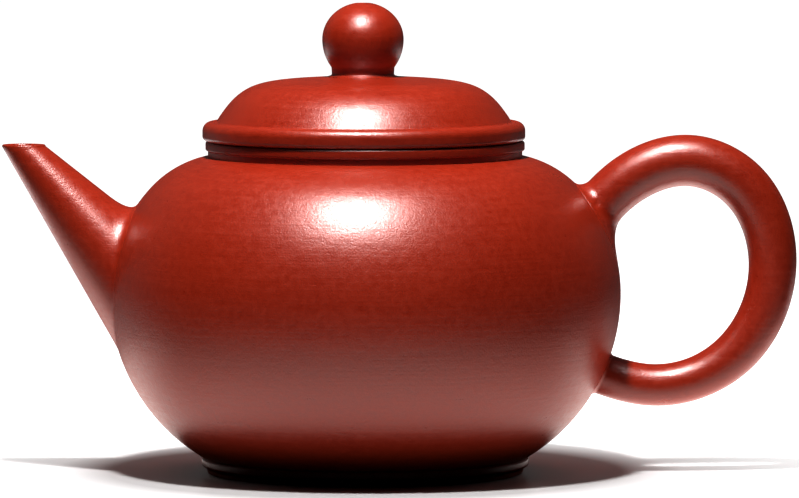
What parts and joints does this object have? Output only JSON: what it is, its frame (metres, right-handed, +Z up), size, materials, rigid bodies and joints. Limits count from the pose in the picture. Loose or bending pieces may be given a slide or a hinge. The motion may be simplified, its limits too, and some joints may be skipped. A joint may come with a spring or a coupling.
{
  "type": "clay teapot",
  "caption": "Small round unglazed clay teapot with a straight spout, a ring handle, a low foot and a domed lift-off lid with a round knob.",
  "frame": {"origin": "on the pot's axis, in the plane that the foot ring stands on", "axes": "+Z up along the pot's axis, +X towards the handle, -X towards the spout, +Y across"},
  "size_m": [0.1302, 0.0836, 0.0769],
  "materials": {
    "burnished_clay": "satin, hand-burnished unglazed red clay",
    "raw_clay": "matte unglazed red clay, wiped smooth"
  },
  "bodies": {
    "pot": {"base_disc": "burnished_clay", "belly_wall": "burnished_clay", "shoulder_disc": "burnished_clay", "neck_ring": "burnished_clay", "mouth_ring": "burnished_clay", "foot_ring": "burnished_clay", "spout": "burnished_clay", "spout_strainer": "raw_clay", "handle": "burnished_clay"},
    "lid": {"lid_seat_plate": "raw_clay", "lid_collar": "raw_clay", "lid_rim_bead": "burnished_clay", "lid_dome": "burnished_clay", "knob": "burnished_clay"}
  },
  "joints": [
    {"name": "lid_lift", "type": "slide", "parent": "pot", "child": "lid", "axis": [0, 0, 1], "range_m": [0, 0.04]}
  ]
}
